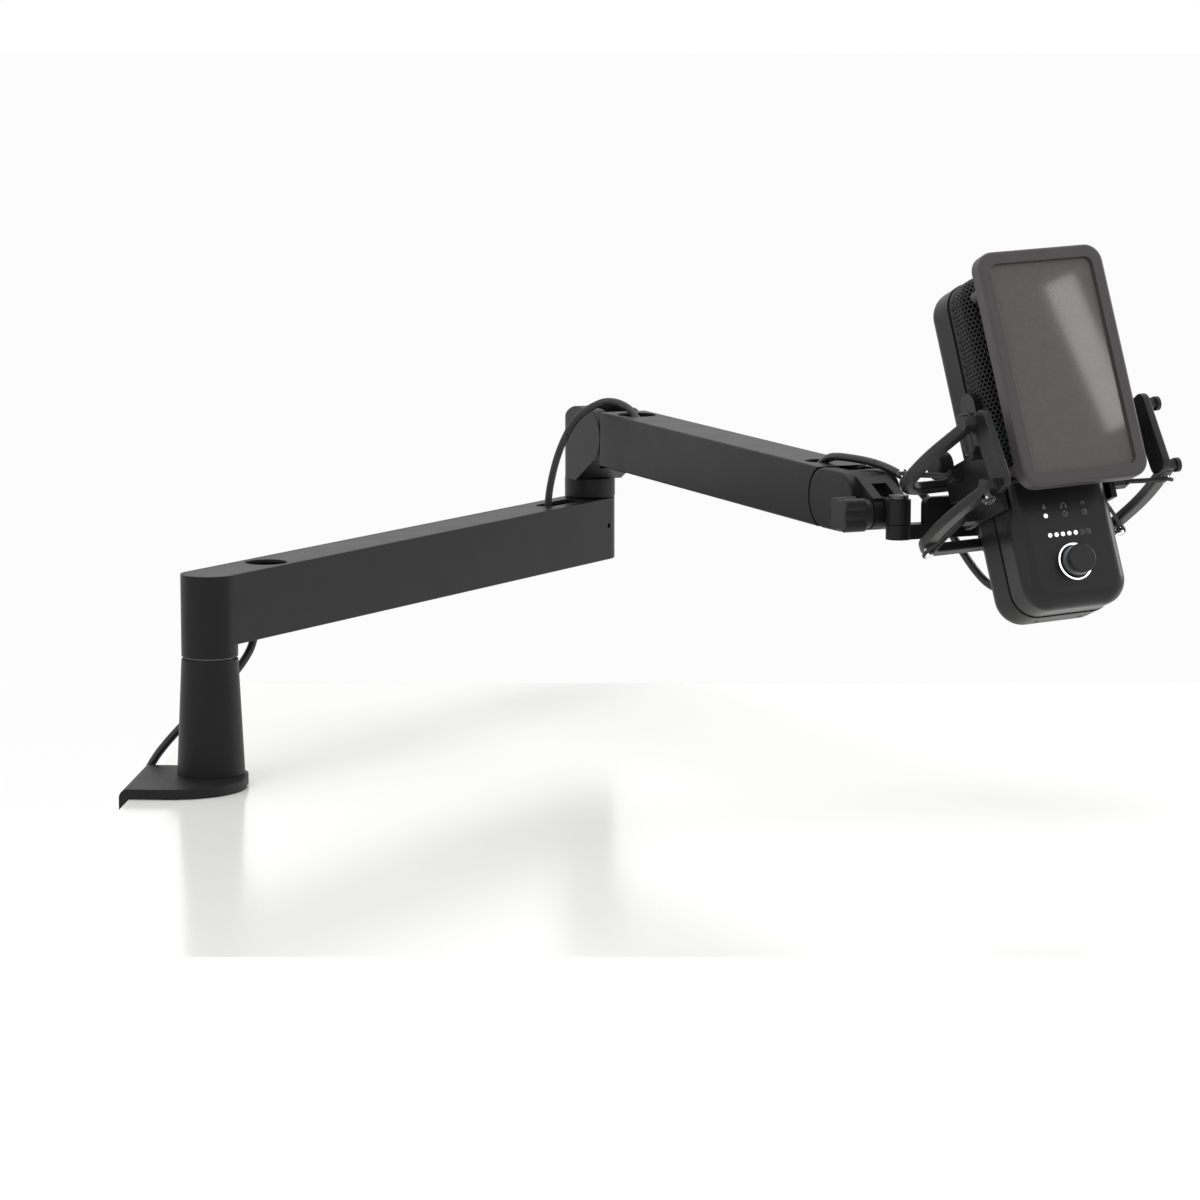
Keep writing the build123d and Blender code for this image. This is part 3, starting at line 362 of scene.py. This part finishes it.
PAINT = {
    "clamp_bracket": "clamp", "riser_column": "arm", "riser_bolts": "black_steel",
    "swivel_spindle": "black_steel", "clamp_spindle": "black_steel", "clamp_handle": "steel",
    "pressure_plate": "clamp", "pressure_pad": "rubber", "lower_beam": "arm",
    "lower_cover": "cover", "arm_bushes": "bush", "elbow_fork": "arm",
    "elbow_spindle": "steel", "elbow_pins": "black_steel", "upper_beam": "arm",
    "upper_cover": "cover", "pivot_tongues": "black_steel", "level_rod": "black_steel",
    "balance_spring": "steel", "spring_rod": "black_steel", "wrist_knuckle": "arm",
    "wrist_pins": "black_steel", "tilt_axle": "black_steel", "tilt_knob": "knob",
    "head_tongue": "arm", "mount_bracket": "arm", "mount_fasteners": "black_steel",
    "cage_rings": "mount", "cage_hub_plate": "mount", "cage_front_posts": "mount",
    "cage_ring_pins": "chrome", "cradle_yoke": "mount", "cradle_lock_knob": "knob",
    "mic_rear_shell": "shell", "mic_front_cover": "front", "grille_foam": "foam",
    "capsule_saddle": "plug", "capsule_element": "gold", "circuit_boards": "board",
    "rear_ports": "steel", "leds_lit": "lit", "leds_unlit": "dark_led",
    "dial_light_ring": "ring", "dial_shaft": "steel", "dial_knob": "dial",
    "case_screws": "black_steel", "usb_plug_mic": "plug", "pop_frame": "pop",
    "pop_mesh": "screen", "usb_plug_host": "plug", "cable_in_lower_arm": "cable",
    "cable_in_upper_arm": "cable",
}


def paint_nodes(mats):
    for name, key in PAINT.items():
        data = NODES[name].data
        data.materials.clear()
        data.materials.append(mats[key])


# ---- perforated grille ----
# Sizes in millimetres, in the microphone's frame.
FLAT_W, FLAT_H, FLAT_R = 43.0, 158.0, 6.0
FILLET = 7.5
FRONT_Y = -20.5
SIDE_BACK = -1.25
GRILLE_Z = -21.85
HOLE_PITCH = 2.45
HOLE_R = 0.92
HEX_HALF = 0.866        # a hexagon's half width for a radius of one, and the row step for a pitch of one
HEX_SLOPE = 0.57735     # how far its pointed ends fall for each step sideways
ROW_STEP = HOLE_PITCH * HEX_HALF
FIRST_ROW = 3.0         # from the sheet's bottom edge
ROWS_HIGH = 140         # enough to pass the sheet's top edge
RIM = 4.5               # no hole's middle is nearer than this to the sheet's side and top edges
LOOKUP_CELL = 4         # the holes near a triangle are looked up in squares of this size
SHEET_T = 0.0011        # in metres
CORE_X = FLAT_W / 2 - FLAT_R
CORE_Z = FLAT_H / 2 - FLAT_R
BEND = FILLET * pi / 2  # the sheet that goes round the fillet
UNFOLD = BEND + (SIDE_BACK - FRONT_Y - FILLET)


def outline_split(x, z):
    """The nearest point of the face's flat part, the way out from there, and the distance beyond it."""
    kx = max(-CORE_X, min(CORE_X, x))
    kz = max(-CORE_Z, min(CORE_Z, z))
    dx, dz = x - kx, z - kz
    reach = (dx * dx + dz * dz) ** 0.5
    if reach <= FLAT_R:
        return x, z, 0.0, 0.0, 0.0
    ux, uz = dx / reach, dz / reach
    return kx + ux * FLAT_R, kz + uz * FLAT_R, ux, uz, reach - FLAT_R


def wrap(x, z):
    """A point of the unfolded sheet, on the case's rounded front."""
    px, pz, ux, uz, d = outline_split(x, z)
    if d <= 0:
        return px, FRONT_Y, pz
    if d < BEND:
        a = d / FILLET
        r = FILLET * sin(a)
        return px + ux * r, FRONT_Y + FILLET - FILLET * cos(a), pz + uz * r
    return px + ux * FILLET, FRONT_Y + FILLET + d - BEND, pz + uz * FILLET


def unfolded_outline():
    """The sheet's edge: round the top, and straight across the bottom."""
    r = FLAT_R + UNFOLD
    corner_steps, side_steps, bottom_steps = 24, 40, 60
    points = []
    for n in range(corner_steps + 1):
        a = pi / 2 * n / corner_steps
        points.append((CORE_X + r * cos(a), CORE_Z + r * sin(a)))
    points += [(-x, z) for x, z in reversed(points)]
    side = [GRILLE_Z + (CORE_Z - GRILLE_Z) * n / side_steps for n in range(1, side_steps)]
    left = [(-CORE_X - r, z) for z in reversed(side)]
    bottom = [(-CORE_X - r + 2 * (CORE_X + r) * n / bottom_steps, GRILLE_Z) for n in range(bottom_steps + 1)]
    right = [(CORE_X + r, z) for z in side]
    return points + left + bottom + right


def hole_centres():
    """Rows of holes, every second row shifted by half a pitch."""
    centres = []
    half_row = 24
    for row in range(int(ROWS_HIGH / ROW_STEP)):
        z = GRILLE_Z + FIRST_ROW + row * ROW_STEP
        for n in range(-half_row, half_row + 1):
            x = (n + 0.5 * (row % 2)) * HOLE_PITCH
            if outline_split(x, z)[4] < UNFOLD - RIM:
                centres.append((x, z))
    return centres


def inside_hex(x, z):
    """True inside a pointed-top hexagon of the hole's size."""
    x, z = abs(x), abs(z)
    return x < HOLE_R * HEX_HALF and z < HOLE_R - x * HEX_SLOPE


def triangulate(centres):
    """The sheet as flat triangles that follow its outline and the edge of every hole."""
    outline = unfolded_outline()
    points = [Vector(p) for p in outline]
    edges = [(i, (i + 1) % len(outline)) for i in range(len(outline))]
    for cx, cz in centres:
        base = len(points)
        for n in range(6):
            a = pi / 6 + n * pi / 3
            points.append(Vector((cx + HOLE_R * cos(a), cz + HOLE_R * sin(a))))
        edges += [(base + n, base + (n + 1) % 6) for n in range(6)]
    found = delaunay_2d_cdt(points, edges, [], 0, 1e-6)
    return found[0], found[2]


def cell_of(x, z):
    return round(x / LOOKUP_CELL), round(z / LOOKUP_CELL)


def metal_faces(points, faces, centres):
    """The triangles that stay: inside the sheet's edge and outside every hole."""
    lookup = {}
    for cx, cz in centres:
        lookup.setdefault(cell_of(cx, cz), []).append((cx, cz))
    around = [(i, j) for i in (-1, 0, 1) for j in (-1, 0, 1)]
    keep = []
    for face in faces:
        x = sum(points[i].x for i in face) / len(face)
        z = sum(points[i].y for i in face) / len(face)
        if outline_split(x, z)[4] > UNFOLD + 1e-3 or z < GRILLE_Z:
            continue
        column, row = cell_of(x, z)
        near = [c for i, j in around for c in lookup.get((column + i, row + j), ())]
        if not any(inside_hex(x - cx, z - cz) for cx, cz in near):
            keep.append(tuple(face))
    return keep


def clean_and_turn_out(mesh):
    """Loose points go, and the faces turn to the microphone's front."""
    bm = bmesh.new()
    bm.from_mesh(mesh)
    bmesh.ops.delete(bm, geom=[v for v in bm.verts if not v.link_faces], context="VERTS")
    bmesh.ops.recalc_face_normals(bm, faces=bm.faces)
    front = at(MIC, 0, -1, 0) - at(MIC, 0, 0, 0)
    middle = min(bm.faces, key=lambda f: (f.calc_center_median() - at(MIC, 0, FRONT_Y, 0)).length)
    if middle.normal.dot(front) < 0:
        bmesh.ops.reverse_faces(bm, faces=bm.faces)
    bm.to_mesh(mesh)
    bm.free()


def make_grille(mats):
    centres = hole_centres()
    points, faces = triangulate(centres)
    verts = [at(MIC, *wrap(p.x, p.y)) for p in points]
    skin = mesh_object("grille_skin", verts, metal_faces(points, faces, centres))
    clean_and_turn_out(skin.data)
    thick = skin.modifiers.new("thickness", "SOLIDIFY")
    thick.thickness = SHEET_T
    thick.offset = -1
    skin.data.materials.append(mats["grille"])
    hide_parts("mic_grille")
    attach(skin, "mic")


# ---- tubes and cables ----
def tube(name, path, radius, sides=12):
    """A round tube with closed ends along a list of points. Its rings don't twist."""
    path = [Vector(p) for p in path]
    tangents = []
    for i in range(len(path)):
        before = path[max(0, i - 1)]
        after = path[min(len(path) - 1, i + 1)]
        tangents.append((after - before).normalized())
    normal = tangents[0].orthogonal().normalized()
    verts, faces = [], []
    for i, (p, t) in enumerate(zip(path, tangents)):
        normal = (normal - t * normal.dot(t)).normalized()
        side = t.cross(normal)
        for n in range(sides):
            a = 2 * pi * n / sides
            verts.append(p + (normal * cos(a) + side * sin(a)) * radius)
    for i in range(len(path) - 1):
        for n in range(sides):
            a, b = i * sides + n, i * sides + (n + 1) % sides
            faces.append((a, b, b + sides, a + sides))
    faces.append(tuple(reversed(range(sides))))
    faces.append(tuple(range((len(path) - 1) * sides, len(path) * sides)))
    return mesh_object(name, verts, faces)


def spline_points(points):
    """The smooth line of a cable's route, read from its NURBS spline."""
    curve = bpy.data.curves.new("route", "CURVE")
    curve.dimensions = "3D"
    spline = curve.splines.new("NURBS")
    spline.points.add(len(points) - 1)
    for target, p in zip(spline.points, points):
        target.co = (*p, 1)
    spline.order_u = 3
    spline.use_endpoint_u = True
    spline.resolution_u = 10
    obj = bpy.data.objects.new("route", curve)
    bpy.context.collection.objects.link(obj)
    bpy.context.view_layer.update()
    mesh = bpy.data.meshes.new_from_object(obj)
    line = [v.co.copy() for v in mesh.vertices]
    bpy.data.objects.remove(obj)
    bpy.data.meshes.remove(mesh)
    return line


def cut(line, *places):
    """The line cut at the points nearest to the given places."""
    marks = [min(range(len(line)), key=lambda i: (line[i] - p).length) for p in places]
    marks = [0] + marks + [len(line) - 1]
    return [line[a:b + 1] for a, b in zip(marks, marks[1:])]


CABLE_D = 0.0042        # in metres


def cable_piece(mats, name, line, nodes=()):
    """One visible stretch of cable, running between two bodies."""
    piece = tube(name, line, CABLE_D / 2)
    piece.data.materials.append(mats["cable"])
    if nodes:
        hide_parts(*nodes)
    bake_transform(piece)


# Routes in millimetres. HEAD_ROUTE and HEAD_CUTS are in the elbow's frame, ENTRY_ROUTE is in the upper
# arm's, and the others are in the row frame.
HEAD_ROUTE = [
    (294, -3, 151), (301, -2.4, 156.5), (308, -1.6, 161.0), (317, -0.8, 162.4),
    (327, 1.2, 162.5), (340, 5, 162.0), (352, 10.5, 159.5), (361.5, 18, 153.5),
    (367, 25, 144.5), (369.5, 29.5, 137.5), (370.7, 31.7, 134.1), (372.9, 37.1, 125.3),
    (374.4, 42.2, 116.8), (376.6, 47.5, 108.3), (381.2, 52.7, 100.8), (390.2, 56.1, 98.1),
    (399.9, 56.8, 100.4), (405.0, 56.85, 102.4),
]
HEAD_CUTS = [(345, 7.5, 160.5), (370, 30.5, 135.8), (376, 46.5, 110)]
ELBOW_ROUTE = [
    (148.8, 308.9, 100.0), (149.4, 308.8, 111.8), (151.3, 308.4, 123.0), (154.6, 307.7, 136.0),
    (159.8, 306.6, 149.0), (167.0, 305.0, 160.5),
]
ELBOW_CUT = ELBOW_ROUTE[4]
ENTRY_ROUTE = [(18.5, -15.5, 21.8), (25, -9.5, 22.6), (32.5, -5, 20.2), (39, -2.8, 15.8), (45, -2.5, 11.2)]
RISER_ROUTE = [
    (18.8, 38.6, 79.0), (17.6, 37.0, 69.0), (14.0, 33.0, 60.0), (4.0, 29.0, 47.0), (-10.0, 27.5, 34.0),
    (-24.0, 27.0, 20.0), (-36.0, 27.0, 5.0), (-43.5, 27.0, -14.0), (-46.5, 26.4, -32.0),
    (-49.0, 24.5, -48.0),
]
COIL_AT = (-50.5, 0.0, -62.0)
COIL_R = 24.0
COIL_TURNS = 7
# Where each turn lies in the bundle: to the side, and outwards from the coil's radius.
TURN_PLACES = [(-2.6, 2.6), (-2.3, -2.4), (2.5, -2.2), (2.3, 2.5), (0.0, -4.9), (0.0, 0.1), (0.1, 4.8)]
COIL_TAIL = [(-50.4, 27.4, -69.0), (-50.5, 24.9, -75.5), (-50.5, 24.0, -82.5)]


def coil_route():
    """The spare cable's turns. Each one ends by moving over to the next one's place in the bundle."""
    points = []
    per_turn = 12
    moves_from = 7
    for n in range(per_turn * COIL_TURNS + 1):
        turn, step = divmod(n, per_turn)
        side, out = TURN_PLACES[min(turn, COIL_TURNS - 1)]
        after = TURN_PLACES[min(turn + 1, COIL_TURNS - 1)]
        share = max(0.0, (step - moves_from) / (per_turn - moves_from))
        side += (after[0] - side) * share
        out += (after[1] - out) * share
        a = -2 * pi * n / per_turn
        # The smooth line runs inside its points, so they lie a little further out.
        r = (COIL_R + out) / cos(pi / per_turn) ** 0.5
        points.append((COIL_AT[0] + side, r * cos(a), COIL_AT[2] + r * sin(a)))
    return points


def make_cables(mats):
    head = spline_points([at(ELBOW, *p) for p in HEAD_ROUTE])
    cuts = [at(ELBOW, *p) for p in HEAD_CUTS]
    over, beside, under, into = cut(head, *cuts)
    cable_piece(mats, "cable_over_wrist", over)
    cable_piece(mats, "cable_beside_wrist", beside,
                ["cable_wrist"])
    cable_piece(mats, "cable_under_head", under)
    cable_piece(mats, "cable_into_mic", into,
                ["cable_head"])
    entry = [at(UPPER, *p) for p in ENTRY_ROUTE]
    elbow = spline_points([Vector(p) * MM for p in ELBOW_ROUTE] + entry)
    up, across = cut(elbow, Vector(ELBOW_CUT) * MM)
    cable_piece(mats, "cable_up_elbow", up)
    cable_piece(mats, "cable_over_elbow", across,
                ["cable_elbow", "cable_entry"])
    riser = spline_points([[c * MM for c in p] for p in RISER_ROUTE + coil_route() + COIL_TAIL])
    cable_piece(mats, "cable_down_riser", riser,
                ["cable_riser", "cable_coil"])


def make_tie(mats):
    """The strap that holds the spare cable's turns together."""
    verts, faces = [], []
    steps = 36
    outer, inner, half_width = 9.6, 8.6, 5.0
    narrow, low = 0.80, 0.92
    section = [(outer, -half_width), (outer, half_width), (inner, half_width), (inner, -half_width)]
    for n in range(steps):
        a = 2 * pi * n / steps
        swell = 1.0 + 0.03 * sin(3 * a)
        for r, along in section:
            x = COIL_AT[0] + r * swell * narrow * cos(a)
            z = COIL_AT[2] - COIL_R + r * swell * low * sin(a)
            verts.append((x * MM, along * MM, z * MM))
    for n in range(steps):
        for k in range(4):
            here, after = n * 4, ((n + 1) % steps) * 4
            near, far = k, (k + 1) % 4
            faces.append((here + near, here + far, after + far, after + near))
    strap = mesh_object("coil_strap", verts, faces)
    strap.data.materials.append(mats["strap"])
    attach(strap, "base")


# ---- elastic suspension ----
CORNERS = [(-51.0, -32.0), (51.0, -32.0), (-55.9, 30.5), (55.9, 30.5)]
EARS = [(-38.5, -12.0), (38.5, -12.0), (-38.5, 14.0), (38.5, 14.0)]
RING_AND_EAR = [(-33.5, -29.0, -1), (0.5, -5.0, 1)]     # a ring's height, its ears' height, and up or down
PIN_RISE = 4.9          # from a ring's height to its loops, along the pin
EAR_OUT = 2.4           # from an ear's middle outwards to its loop
PIN_LOOP = 2.5          # from the pin's middle to a strand
EAR_LOOP = 1.6          # from the ear's middle to a strand
ELASTIC_R = 0.001       # in metres
STRAND_STEPS = 9


def elastic_path(start, end, normal):
    """Out along one strand, round the pin, and back along the other."""
    along = (end - start).normalized()
    side = along.cross(normal).normalized()
    widening = side * (PIN_LOOP - EAR_LOOP)
    path = []
    for n in range(STRAND_STEPS):
        share = n / STRAND_STEPS
        path.append(end + side * EAR_LOOP + (start - end) * share + widening * share)
    for n in range(STRAND_STEPS):
        a = pi * n / (STRAND_STEPS - 1)
        path.append(start + side * PIN_LOOP * cos(a) - along * PIN_LOOP * sin(a))
    for n in range(1, STRAND_STEPS + 1):
        share = n / STRAND_STEPS
        path.append(start - side * PIN_LOOP + (end - start) * share + widening * share)
    return path


def make_elastics(mats):
    number = 0
    for (cx, cy), (ex, ey) in zip(CORNERS, EARS):
        for ring_z, ear_z, way in RING_AND_EAR:
            start = Vector((cx, cy, ring_z + way * PIN_RISE))
            end = Vector((ex + (1 if ex > 0 else -1) * EAR_OUT, ey, ear_z))
            path = elastic_path(start, end, Vector((0, 0, way)))
            number += 1
            piece = tube(f"elastic_{number}", [at(CAGE, *p) for p in path], ELASTIC_R, sides=10)
            piece.data.materials.append(mats["elastic"])
            if number == 1:
                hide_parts("elastic_cords")
            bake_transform(piece)


# ---- woven pop screen ----
MESH_W, MESH_H = 58.0, 107.0
MESH_MID_Z = 29.0
MESH_Y = -48.13
WIRE_PITCH = 1.15
WIRE_R = 0.07


def make_weave(mats):
    """Fine wires whose middles go over and under the ones they cross. At a crossing the two still overlap."""
    verts, faces = [], []
    columns = int(MESH_W / WIRE_PITCH)
    rows = int(MESH_H / WIRE_PITCH)

    def strand(fixed, upright, index, crossed):
        start = len(verts)
        span = MESH_H if upright else MESH_W
        stations = 2 * crossed
        for k in range(stations + 1):
            along = -span / 2 + span * k / stations
            phase = pi * (along / WIRE_PITCH + index)
            lift = WIRE_R * cos(phase) * (1 if upright else -1)
            for dx, dy in ((WIRE_R, 0), (0, -WIRE_R), (-WIRE_R, 0), (0, WIRE_R)):
                x, z = (fixed + dx, along) if upright else (along, fixed + dx)
                verts.append(at(MIC, x, MESH_Y + lift + dy, z + MESH_MID_Z))
        for k in range(stations):
            for n in range(4):
                a, b = start + k * 4 + n, start + k * 4 + (n + 1) % 4
                faces.append((a, b, b + 4, a + 4))

    for i in range(columns):
        strand(-MESH_W / 2 + (i + 0.5) * MESH_W / columns, True, i, rows)
    for j in range(rows):
        strand(-MESH_H / 2 + (j + 0.5) * MESH_H / rows, False, j, columns)
    weave = mesh_object("pop_weave", verts, faces)
    weave.data.materials.append(mats["wire"])
    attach(weave, "pop_filter")


# ---- printed marks on the front ----
COLUMN_X = 11.1         # the side marks' distance from the middle
LAMP_Z = -40.0
METER_Z = -50.0
METER_STEP = 3.67
PRINT_OUT = 0.05
PRINT_T = 0.00006       # in metres
RING_STEPS = 20


def ring_mark(cx, cz, r0, r1, a0=0.0, a1=2 * pi):
    """Verts and faces of a flat ring or arc on the case's front."""
    verts, faces = [], []
    for n in range(RING_STEPS + 1):
        a = a0 + (a1 - a0) * n / RING_STEPS
        verts.append((cx + r0 * cos(a), cz + r0 * sin(a)))
        verts.append((cx + r1 * cos(a), cz + r1 * sin(a)))
    for n in range(RING_STEPS):
        faces.append((2 * n, 2 * n + 2, 2 * n + 3, 2 * n + 1))
    return verts, faces


def bar_mark(x0, x1, z0, z1):
    """Verts and the face of a flat bar on the case's front."""
    return [(x0, z0), (x1, z0), (x1, z1), (x0, z1)], [(0, 1, 2, 3)]


def make_marks(mats):
    marks = [ring_mark(x, LAMP_Z, 1.15, 1.5) for x in (-COLUMN_X, 0.0, COLUMN_X)]
    marks += [ring_mark(METER_STEP * n, METER_Z, 1.15, 1.4) for n in range(-3, 4)]
    marks += [bar_mark(-11.5, -10.7, -36.3, -34.2), ring_mark(-COLUMN_X, -35.4, 0.9, 1.15, pi, 2 * pi)]
    marks += [ring_mark(0.0, -35.8, 1.1, 1.4, 0, pi)]
    marks += [bar_mark(-1.6, -0.9, -37.0, -35.8), bar_mark(0.9, 1.6, -37.0, -35.8)]
    marks += [ring_mark(COLUMN_X, -35.6, 0.8, 1.1, radians(-50), radians(230))]
    marks += [bar_mark(10.97, 11.23, -35.6, -34.6)]
    verts, faces = [], []
    for points, quads in marks:
        base = len(verts)
        verts += [at(MIC, x, FRONT_Y - PRINT_OUT, z) for x, z in points]
        faces += [tuple(base + i for i in q) for q in quads]
    printed = mesh_object("front_marks", verts, faces, smooth=False)
    printed.data.materials.append(mats["print"])
    thick = printed.modifiers.new("thickness", "SOLIDIFY")
    thick.thickness = PRINT_T
    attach(printed, "mic")


# ---- coil spring inside the upper arm ----
SPRING_TURNS = 38
SPRING_X = (62.6, 195.4)
SPRING_Z = -6.0
SPRING_R = 4.3
SPRING_WIRE_R = 0.0007  # in metres


def make_spring(mats):
    x0, x1 = SPRING_X
    per_turn = 14
    steps = SPRING_TURNS * per_turn
    path = []
    for n in range(steps + 1):
        a = 2 * pi * n / per_turn
        x = x0 + (x1 - x0) * (n / steps)
        path.append(at(UPPER, x, SPRING_R * cos(a), SPRING_Z + SPRING_R * sin(a)))
    spring = tube("spring_coil", path, SPRING_WIRE_R, sides=8)
    spring.data.materials.append(mats["steel"])
    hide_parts("balance_spring")
    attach(spring, "upper_arm")


def main():
    make_camera()
    make_stage()
    mats = make_materials()
    paint_nodes(mats)
    make_cables(mats)
    make_tie(mats)
    make_grille(mats)
    make_weave(mats)
    make_marks(mats)
    make_elastics(mats)
    make_spring(mats)


main()
